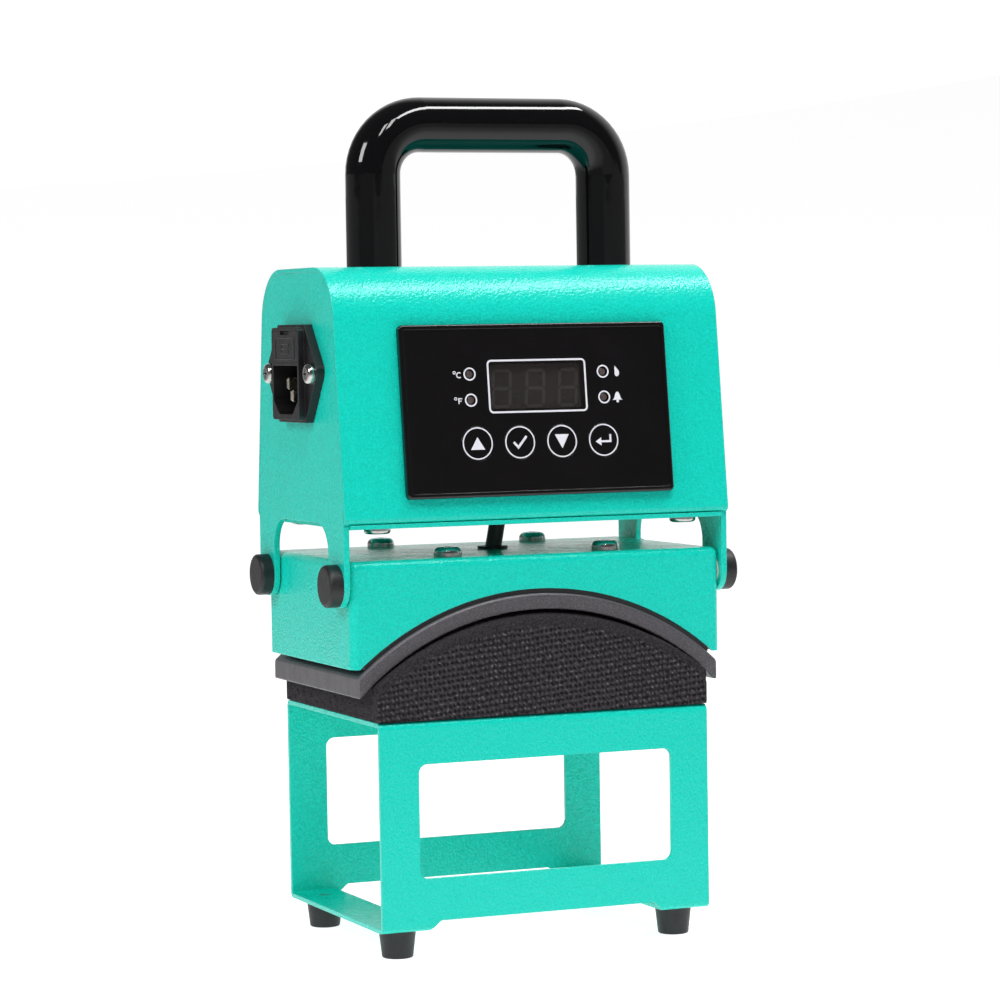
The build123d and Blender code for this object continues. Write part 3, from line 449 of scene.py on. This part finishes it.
def metal(name, dark, light, roughness, size, depth=0.01):
    """Bare or plated metal: two tones of crystal, and a gloss that follows them."""
    finish, tree, shader = new_finish(name, light, roughness, Metallic=1.0)
    crystal = spread(tree, noise(tree, size, 3.0), 0.35, 0.65)
    tree.links.new(mix_tones(tree, crystal, dark, light), shader.inputs["Base Color"])
    tree.links.new(spread(tree, crystal, 0, 1, roughness * 1.3, roughness * 0.8), shader.inputs["Roughness"])
    edge_normal, _ = soft_edges(tree, 0.2)
    relief(tree, shader, noise(tree, size * 0.5, 2.0), depth, edge_normal)
    return finish


finishes["plate_alloy"] = coated_plate()
finishes["bright_steel"] = metal("nickel_screw", (0.40, 0.40, 0.39), (0.54, 0.53, 0.52), 0.16, 1.2)
finishes["zinc_steel"] = metal("zinc_plate", (0.46, 0.47, 0.49), (0.62, 0.63, 0.66), 0.34, 2.5, 0.02)
finishes["brass_pin"] = metal("pin_brass", (0.74, 0.68, 0.55), (0.90, 0.86, 0.76), 0.22, 1.5)
finishes["core_steel"] = metal("transformer_core", (0.20, 0.17, 0.14), (0.32, 0.28, 0.23), 0.5, 1.0, 0.05)
print("metals:", [m for m in ("plate_alloy", "bright_steel", "zinc_steel", "brass_pin", "core_steel")])

# %% [markdown]
# ## Inside parts
# Boards, wires and the heater stack are hidden until the housing is opened, but they are painted all
# the same. Each needs two close tones, a gloss and a relief, so one helper makes them from a table.

# %% Finishes of the inside parts
inside_parts = {
    # slot: (dark tone, light tone, roughness, blob in mm, relief in mm)
    "board_green": ((0.010, 0.105, 0.035), (0.022, 0.170, 0.060), 0.32, 4.0, 0.02),
    "component_black": ((0.014, 0.014, 0.015), (0.030, 0.029, 0.030), 0.48, 1.0, 0.03),
    "component_blue": ((0.020, 0.080, 0.360), (0.035, 0.110, 0.460), 0.35, 3.0, 0.02),
    "terminal_green": ((0.020, 0.280, 0.090), (0.035, 0.370, 0.130), 0.40, 2.0, 0.02),
    "core_blue": ((0.035, 0.150, 0.480), (0.055, 0.210, 0.620), 0.42, 2.0, 0.02),
    "ribbon_grey": ((0.300, 0.300, 0.320), (0.420, 0.420, 0.440), 0.50, 1.3, 0.05),
    "silicone_orange": ((0.520, 0.110, 0.025), (0.700, 0.180, 0.050), 0.55, 0.8, 0.06),
    "ceramic_fibre": ((0.620, 0.600, 0.550), (0.820, 0.800, 0.750), 0.95, 1.6, 0.35),
    "nylon_white": ((0.680, 0.670, 0.640), (0.780, 0.775, 0.750), 0.40, 2.0, 0.02),
}
for slot, (dark, light, roughness, size, depth) in inside_parts.items():
    finishes[slot] = plain_finish(slot + "_finish", dark, light, roughness, size, depth)

finishes["lamp_clear"] = plain_finish(
    "lamp_lens", (0.060, 0.045, 0.045), (0.100, 0.075, 0.072), 0.22, 1.0, 0.01, Coat_Weight=0.5
)
finishes["glass_clear"] = plain_finish(
    "fuse_glass_clear", (0.90, 0.93, 0.92), (0.95, 0.97, 0.96), 0.05, 4.0, 0.005, Alpha=0.25
)
finishes["smoke_window"] = plain_finish(
    "smoked_window", (0.012, 0.009, 0.009), (0.018, 0.014, 0.013), 0.10, 6.0, 0.004, Alpha=0.45
)
print("inside finishes:", len(inside_parts) + 3)

# %% [markdown]
# ## Painting the CAD nodes
# The record says which slot each node takes its finish from, so one loop paints them all. The digit
# module is the one exception: its face is a brown filter, not black plastic.

# %% Paint every CAD node
digit_face = plain_finish("digit_filter", (0.170, 0.150, 0.152), (0.220, 0.196, 0.198), 0.55, 1.2, 0.03)
for part in frame["record"]["subparts"]:
    node = frame["nodes"][part["node"]]
    node.data.materials.clear()
    node.data.materials.append(finishes.get(part["material_slot"], finishes["component_black"]))
frame["nodes"]["digit_module"].data.materials[0] = digit_face

# %% [markdown]
# ## The foam saddle
# The saddle is a block of black sponge whose top is cut to the curve of a mug. Its front and rear
# carry the print of a knit: staggered rows of small stitches. A band along the curve, and the two ends,
# show the open cells where the sponge was sawn. A cushion's cloth simulation would make it swell, but dense
# foam keeps its cut shape. So it is a lattice: the six sides of a box, bent to the arc, with rounded
# edges and small pits pushed into the skin.

# %% Foam shape
foam_low, foam_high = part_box("foam_saddle")
foam_half = np.array([(foam_high.x - foam_low.x) / 2, (foam_high.y - foam_low.y) / 2])
foam_cut = node_points("foam_saddle")
at_end = np.abs(foam_cut[:, 0]) > foam_half[0] - 0.1 * mm
foam_shoulder = foam_cut[at_end, 2].max() - foam_low.z
foam_crown = foam_high.z - foam_low.z
# radius of an arc from its width and its rise
foam_rise = foam_crown - foam_shoulder
foam_radius = (foam_half[0] ** 2 + foam_rise**2) / (2 * foam_rise)


def foam_top(x):
    """Height of the crowned top over the foam's underside: a circle's arc across the width."""
    return np.sqrt(foam_radius**2 - x**2) - foam_radius + foam_crown


def box_lattice(counts):
    """Integer places on the skin of a counts[0] x counts[1] x counts[2] lattice, and its outward quads."""
    places, quads, offset = [], [], 0
    for axis in range(3):
        first, second = (axis + 1) % 3, (axis + 2) % 3
        for end in (0, counts[axis]):
            rows, columns = counts[first] + 1, counts[second] + 1
            a, b = np.meshgrid(np.arange(rows), np.arange(columns), indexing="ij")
            sheet = np.zeros((rows * columns, 3), int)
            sheet[:, axis], sheet[:, first], sheet[:, second] = end, a.ravel(), b.ravel()
            faces = grid_faces(rows, columns) + offset
            quads.append(faces if end else faces[:, ::-1])
            places.append(sheet)
            offset += rows * columns
    places, welded = np.unique(np.concatenate(places), axis=0, return_inverse=True)
    return places, welded.reshape(-1)[np.concatenate(quads)]


def cell_noise(points, size, seed):
    """Smooth value noise, -1 to 1: random numbers on a cubic lattice of that size, blended between."""
    table = np.random.default_rng(seed).uniform(-1, 1, (64, 64, 64))
    scaled = points / size
    base = np.floor(scaled).astype(int)
    part = scaled - base
    part = part * part * (3 - 2 * part)
    total = np.zeros(len(points))
    for corner in np.ndindex(2, 2, 2):
        weight = np.prod(np.where(np.array(corner), part, 1 - part), axis=1)
        i, j, k = ((base + corner) % 64).T
        total += weight * table[i, j, k]
    return total


foam_counts = (220, 96, 48)
lattice, foam_quads = box_lattice(foam_counts)
unit = 2 * lattice / np.array(foam_counts) - 1
foam_x = unit[:, 0] * foam_half[0]
foam_y = unit[:, 1] * foam_half[1]
# near the front and rear the crown dips a little below the plate, which leaves a dark line between
ledge_depth = 7.5 * mm
ledge_slope = 5 * mm
crown_dip = 1.5 * mm
ledge = np.clip((np.abs(foam_y) - foam_half[1] + ledge_depth) / ledge_slope, 0, 1)
crown = 1 - (foam_x / foam_half[0]) ** 2
foam_tall = foam_top(foam_x) - crown_dip * crown * ledge**2 * (3 - 2 * ledge)
flat_place = np.stack([foam_x, foam_y, unit[:, 2] * foam_tall / 2], axis=-1)
half_width, half_depth = np.full_like(foam_x, foam_half[0]), np.full_like(foam_x, foam_half[1])
half_size = np.stack([half_width, half_depth, foam_tall / 2], axis=-1)
# the top edges are rounder at the crown than at the tips
edge_at_tips, edge_gain = 0.8 * mm, 0.5 * mm
foam_edge = (edge_at_tips + edge_gain * crown * np.clip(unit[:, 2], 0, 1))[:, None]
core = np.clip(flat_place, -(half_size - foam_edge), half_size - foam_edge)
outward = flat_place - core
outward /= np.maximum(np.linalg.norm(outward, axis=1, keepdims=True), 1e-9)
rounded = core + outward * foam_edge

# how far each point lies under the arc, and which points are on the printed front and rear
under_arc = half_size[:, 2] - rounded[:, 2]
on_front = np.abs(unit[:, 1]) == 1
plain_band = 3.2 * mm
band_fade = 0.8 * mm
band_width = plain_band * (1 + 0.25 * cell_noise(flat_place, 5 * mm, 3))
printed = on_front * np.clip((under_arc - band_width) / band_fade, 0, 1)
sawn = 1 - printed

pits = np.clip(cell_noise(flat_place, 1.1 * mm, 11) - 0.42, 0, None) * sawn
holes = np.clip(cell_noise(flat_place, 2.6 * mm, 12) - 0.62, 0, None) * (np.abs(unit[:, 0]) == 1)
waves = 0.5 + 0.5 * cell_noise(flat_place, 14 * mm, 13)
sunk = 0.9 * mm * pits + 2.4 * mm * holes + 0.12 * mm * waves
foam_points = rounded - outward * sunk[:, None]
foam_points[:, 2] += foam_tall / 2 + foam_low.z
foam_points[:, 2] = np.maximum(foam_points[:, 2], foam_low.z)
print("foam:", len(foam_points), "points,", 2 * len(foam_quads), "triangles")
print("arc radius", round(foam_radius / mm, 1), "mm")

# %% [markdown]
# The knit of the printed face is a sum of waves along X and Z. Five waves whose directions differ give
# staggered rows of dark holes with slanted stitches between. An attribute on the mesh says where the
# print is, and where the sawn cells are. Slow noise makes the rows waver, as in pressed sponge.


# %% Foam finish
knit_waves = [
    # cycles per millimetre along X and Z, share
    (0.050, -0.500, 1.0),
    (0.610, 0.018, 0.6),
    (0.253, 0.242, 0.40),
    (0.540, 0.510, 0.50),
    (0.312, -0.224, 0.25),
]


def sponge():
    """Charcoal sponge: a knit where the attribute 'printed' is 1, open cells where it is 0."""
    finish, tree, shader = new_finish("charcoal_sponge", (0.030, 0.027, 0.030), 0.88)
    shader.inputs["Specular IOR Level"].default_value = 0.2
    place = tree.nodes.new("ShaderNodeTexCoord")
    waver = tree.nodes.new("ShaderNodeTexNoise")
    waver.inputs["Scale"].default_value = 330.0
    shift = tree.nodes.new("ShaderNodeVectorMath")
    shift.operation = "MULTIPLY_ADD"
    shift.inputs[1].default_value = (0.0022, 0.0, 0.0014)
    tree.links.new(place.outputs["Object"], waver.inputs["Vector"])
    tree.links.new(waver.outputs["Color"], shift.inputs[0])
    tree.links.new(place.outputs["Object"], shift.inputs[2])
    knit = None
    for along_x, along_z, share in knit_waves:
        phase = tree.nodes.new("ShaderNodeVectorMath")
        phase.operation = "DOT_PRODUCT"
        phase.inputs[1].default_value = (2 * math.pi * along_x / mm, 0.0, 2 * math.pi * along_z / mm)
        tree.links.new(shift.outputs["Vector"], phase.inputs[0])
        wave = combine(tree, "MULTIPLY", combine(tree, "COSINE", phase.outputs["Value"], 0), -share)
        knit = wave if knit is None else combine(tree, "ADD", knit, wave)
    stitches = spread(tree, knit, -1.9, 1.6)
    cells = spread(tree, noise(tree, 0.8, 3.0, roughness=0.7), 0.3, 0.7)
    mask = tree.nodes.new("ShaderNodeAttribute")
    mask.attribute_name = "printed"
    height = tree.nodes.new("ShaderNodeMix")
    tree.links.new(mask.outputs["Fac"], height.inputs[0])
    tree.links.new(spread(tree, cells, 0, 1, 0.50, 1.15), height.inputs[2])
    tree.links.new(combine(tree, "ADD", stitches, combine(tree, "MULTIPLY", cells, 0.55)), height.inputs[3])
    skin = height.outputs[0]
    # colour follows the relief: darker in its low places, lighter on its tops; glint adds a painted highlight on
    # the highest tops
    body = mix_tones(tree, spread(tree, skin, 0.35, 1.30), (0.003, 0.0025, 0.003), (0.054, 0.047, 0.055))
    glint = spread(tree, combine(tree, "MULTIPLY", skin, noise(tree, 0.7, 2.0)), 0.66, 0.86)
    tree.links.new(mix_tones(tree, glint, body, (0.15, 0.135, 0.15)), shader.inputs["Base Color"])
    tree.links.new(spread(tree, cells, 0, 1, 0.95, 0.80), shader.inputs["Roughness"])
    relief(tree, shader, skin, 0.5)
    return finish


saddle = add_piece("saddle_sponge", foam_points, foam_quads, sponge(), "stand", smooth=True)
mask = saddle.data.attributes.new("printed", "FLOAT", "POINT")
mask.data.foreach_set("value", printed.astype(np.float32))
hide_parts("foam_saddle")
print("saddle from", np.round(foam_points.min(0) / mm, 2), "to", np.round(foam_points.max(0) / mm, 2), "mm")

# %% [markdown]
# ## Print on the panel
# The panel's white marks are screen print: a film a few hundredths of a millimetre thick. Every mark
# here is a band, a flat strip carried along a path. A ring is a closed band, a triangle is a band that
# tapers, and a letter is two or three bands. Text objects would be quicker, but plain signs need no
# words: a flame for heat, a bell for the alarm, a tick and a return arrow on two keys.


# %% Bands in the panel's plane
def band(path, width, closed=False):
    """Left and right edges of a strip: each path point moved half the width along the mitred normal."""
    path = np.asarray(path, float)
    half = np.broadcast_to(np.asarray(width, float) / 2, len(path))[:, None]
    after = np.roll(path, -1, 0) - path
    before = path - np.roll(path, 1, 0)
    if not closed:
        after[-1], before[0] = before[-1], after[0]
    after /= np.linalg.norm(after, axis=1, keepdims=True)
    before /= np.linalg.norm(before, axis=1, keepdims=True)
    normals = [np.stack([-d[:, 1], d[:, 0]], -1) for d in (before, after)]
    mitre = normals[0] + normals[1]
    mitre /= np.sum(mitre * normals[0], axis=1, keepdims=True)
    return path + mitre * half, path - mitre * half, closed


def ring(x, y, radius, width, steps=48):
    """A circular band about (x, y)."""
    turn = np.linspace(0, 2 * np.pi, steps, endpoint=False)
    return band(np.stack([x + radius * np.cos(turn), y + radius * np.sin(turn)], -1), width, True)


def arc(x, y, radius, width, start, end, steps=16):
    """An open circular band about (x, y), between two angles in degrees."""
    turn = np.radians(np.linspace(start, end, steps))
    return band(np.stack([x + radius * np.cos(turn), y + radius * np.sin(turn)], -1), width)


def round_frame(x, y, width, height, radius, line, steps=8):
    """A rectangular band with round corners: quarter turns about the four corner centres."""
    quarter = np.radians(np.linspace(0, 90, steps))
    corners = []
    for number, (sx, sy) in enumerate([(1, 1), (-1, 1), (-1, -1), (1, -1)]):
        turn = quarter + number * np.pi / 2
        centre = np.array([x + sx * (width / 2 - radius), y + sy * (height / 2 - radius)])
        corners.append(centre + radius * np.stack([np.cos(turn), np.sin(turn)], -1))
    return band(np.concatenate(corners), line, True)


def film(bands, place, floor_level, top_level):
    """One mesh from many bands: a thin rectangular section carried along each, capped at open ends."""
    points, faces, offset = [], [], 0
    for left, right, closed in bands:
        section = [(left, floor_level), (left, top_level), (right, top_level), (right, floor_level)]
        rows = np.stack([place(edge, level) for edge, level in section], axis=1)
        count = len(rows)
        quads = grid_faces(count, 4, wrap_rows=closed, wrap_columns=True) + offset
        points.append(rows.reshape(-1, 3))
        faces.append(quads[:, ::-1])
        if not closed:
            last = 4 * count - 1
            end_caps = np.array([[0, 1, 2, 3], [last, last - 1, last - 2, last - 3]])
            faces.append(end_caps[:, ::-1] + offset)
        offset += 4 * count
    return np.concatenate(points), np.concatenate(faces)


panel_inward = Vector(next(j for j in frame["joints"] if j["child"] == "key_up")["axis"])
panel_outward = -np.array(panel_inward)
panel_across = np.array([1.0, 0.0, 0.0])
panel_upward = np.cross(panel_outward, panel_across)


def reach(name, direction):
    """Least and greatest distance of a node's points along a direction."""
    along_it = node_points(name) @ direction
    return along_it.min(), along_it.max()


panel_low, panel_high = reach("control_panel", panel_upward)
panel_centre = (panel_low + panel_high) / 2
panel_rim = reach("control_panel", panel_outward)[1]
rim_recess = 0.3 * mm
panel_face = panel_rim - rim_recess


def on_panel(edge, level):
    """Panel millimetres (across, up the slope) and a distance out from the origin, as world metres."""
    up = (edge[:, 1:2] * mm + panel_centre) * panel_upward
    return edge[:, 0:1] * mm * panel_across + up + level * panel_outward


print("panel face leans", round(math.degrees(math.asin(panel_outward[2])), 2), "degrees")

# %% [markdown]
# The signs are drawn in millimetres from the panel's middle. The white frame round the window, the
# four lamp rings and the degree letters ride on the press. Each key's ring and sign ride on that key,
# so they sink with it when it is pressed.

# %% Signs beside the window
line = 0.5
lamp_left, lamp_right = -23.7, 24.95
lamp_rows = (12.2, 3.5)
window_middle = (0.65, 7.85)
signs = [round_frame(*window_middle, 35.4, 17.3, 1.3, 0.62)]
signs += [ring(x, y, 1.95, line) for x in (lamp_left, lamp_right) for y in lamp_rows]
letter_line = 0.36
for y in lamp_rows:
    signs.append(ring(-29.2, y + 0.55, 0.42, 0.25, 20))
signs.append(arc(-27.5, lamp_rows[0] - 0.3, 0.85, letter_line, 50, 310))
f_left, f_right, f_top = -28.1, -26.9, lamp_rows[1] + 0.55
signs.append(band([(f_left, lamp_rows[1] - 1.2), (f_left, f_top), (f_right, f_top)], letter_line))
signs.append(band([(-27.9, lamp_rows[1] - 0.25), (-27.1, lamp_rows[1] - 0.25)], letter_line))


def flame(x, y, height):
    """A flame: a band up a slightly curved line, widest a third of the way up, ending in a point."""
    rise = np.linspace(0, 1, 14)
    lean = 0.09 * height * np.sin(rise * np.pi * 1.5)
    width = height * 1.35 * np.sqrt(np.clip(rise, 0.02, 1)) * (1 - rise) ** 1.2 + 0.02
    return band(np.stack([x + lean, y + rise * height], -1), width)


def bell(x, y, height):
    """A bell: a band up its axis whose width flares at the rim, with a clapper below the rim."""
    rise = np.linspace(0, 1, 12)
    width = height * (0.62 * np.sqrt(1 - (rise * 0.98) ** 2) + 0.45 * np.exp(-rise / 0.12))
    axis = np.stack([np.full_like(rise, x), y + 0.18 * height + rise * 0.75 * height], -1)
    return [band(axis, width), ring(x, y + 0.06 * height, 0.07 * height, 0.13 * height, 16)]


signs.append(flame(lamp_right + 4.9, lamp_rows[0] - 1.7, 3.5))
signs += bell(lamp_right + 4.9, lamp_rows[1] - 1.7, 3.6)
white_ink = plain_finish("white_ink", (0.70, 0.70, 0.76), (0.80, 0.80, 0.86), 0.40, 1.5, 0.01)
ink = 0.04 * mm
sign_points, sign_faces = film(signs, on_panel, panel_face - ink / 2, panel_face + ink)
add_piece("panel_print", sign_points, sign_faces, white_ink, "press")
print("panel print:", len(signs), "bands")

# %% Signs on the keys
key_middles = {}
for key_name in ("key_up", "key_ok", "key_down", "key_enter"):
    low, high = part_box(key_name)
    key_middles[key_name] = (low.x + high.x) / 2 / mm
key_row = -11.0
key_signs = {
    "key_up": [band([(0, -2.1), (0, 2.1)], (5.1, 0.02))],
    "key_ok": [band([(-2.3, 0.1), (-0.7, -1.7), (2.4, 2.0)], 0.8)],
    "key_down": [band([(0, 2.3), (0, -2.4)], (5.1, 0.02))],
    "key_enter": [
        band([(2.5, 1.9), (2.5, -0.5), (-1.0, -0.5)], 0.7),
        band([(-0.9, -0.5), (-3.0, -0.5)], (2.8, 0.02)),
    ],
}


def moved(strip, x, y):
    """The same band, shifted by x and y."""
    left, right, closed = strip
    return left + (x, y), right + (x, y), closed


for key_name, strips in key_signs.items():
    key_top = reach(key_name, panel_outward)[1]
    bands = [moved(strip, key_middles[key_name], key_row) for strip in strips]
    bands.append(ring(key_middles[key_name], key_row, 5.2, 0.42, 72))
    points, faces = film(bands, on_panel, key_top - ink / 2, key_top + ink)
    add_piece(key_name + "_print", points, faces, white_ink, key_name)
print("key prints:", {name: round(x, 2) for name, x in key_middles.items()})

# %% [markdown]
# ## Unlit digits
# Behind the smoked window sit three figures of seven bars each. Unlit, they are only a shade paler
# than the filter round them. A bar is a short band that narrows to a blunt point at both ends.


# %% Three seven-bar figures
def bar(start, end, width):
    """A bar of a figure: full width along its middle, blunt points at its ends."""
    start, end = np.array(start, float), np.array(end, float)
    unit_step = (end - start) / np.linalg.norm(end - start)
    path = [start, start + unit_step * width / 2, end - unit_step * width / 2, end]
    return band(path, (0.15 * width, width, width, 0.15 * width))


def figure(x, y, width, height, slant, thick):
    """Seven bars of one figure, its lower left corner at (x, y), leaning by slant."""
    gap = 0.25
    nodes = {(i, j): (x + i * width + j * slant / 2, y + j * height / 2) for i in (0, 1) for j in (0, 1, 2)}
    ends = [((0, j), (1, j)) for j in (0, 1, 2)] + [((i, j), (i, j + 1)) for i in (0, 1) for j in (0, 1)]
    bars = []
    for first, second in ends:
        a, b = np.array(nodes[first]), np.array(nodes[second])
        step = (b - a) / np.linalg.norm(b - a) * gap
        bars.append(bar(a + step, b - step, thick))
    return bars


figure_height = 12.0
figure_width = 6.2
digit_bars = []
for column in (-15.1, -2.9, 9.1):
    digit_bars += figure(column, 1.3, figure_width, figure_height, 1.0, 1.1)
digit_level = reach("digit_module", panel_outward)[1]
bar_finish = plain_finish("unlit_bars", (0.31, 0.285, 0.285), (0.36, 0.33, 0.33), 0.5, 1.0, 0.02)
bar_points, bar_faces = film(digit_bars, on_panel, digit_level - 0.05 * mm, digit_level + 0.12 * mm)
add_piece("digit_bars", bar_points, bar_faces, bar_finish, "press")
print("digit bars:", len(digit_bars))

# %% [markdown]
# ## Fuse sign on the drawer
# The drawer's front carries moulded marks. Only the plain sign for a fuse is kept: a box with a line
# through it, raised by a sixth of a millimetre. It rides on the drawer.

# %% Raised fuse sign
drawer_low, drawer_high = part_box("fuse_drawer")
drawer_middle = (drawer_low + drawer_high) / 2
drawer_face = -drawer_low.x


def on_drawer(edge, level):
    """Drawer millimetres (towards -Y, up) from its middle, and a distance out along -X, as world metres."""
    out = np.full((len(edge), 1), -level)
    across, up = edge[:, 0:1] * mm, edge[:, 1:2] * mm
    return np.concatenate([out, drawer_middle.y - across, drawer_middle.z + up], axis=1)


fuse_sign = [
    round_frame(0, -0.8, 7.6, 3.2, 0.5, 0.45, 4),
    band([(-6.2, -0.8), (6.2, -0.8)], 0.4),
    round_frame(0, -0.8, 18.5, 7.0, 1.0, 0.35, 5),
]
fuse_points, fuse_faces = film(fuse_sign, on_drawer, drawer_face - 0.05 * mm, drawer_face + 0.15 * mm)
add_piece("fuse_sign", fuse_points, fuse_faces, finishes["drawer_black"], "fuse_drawer")
print("fuse sign:", len(fuse_faces), "faces")
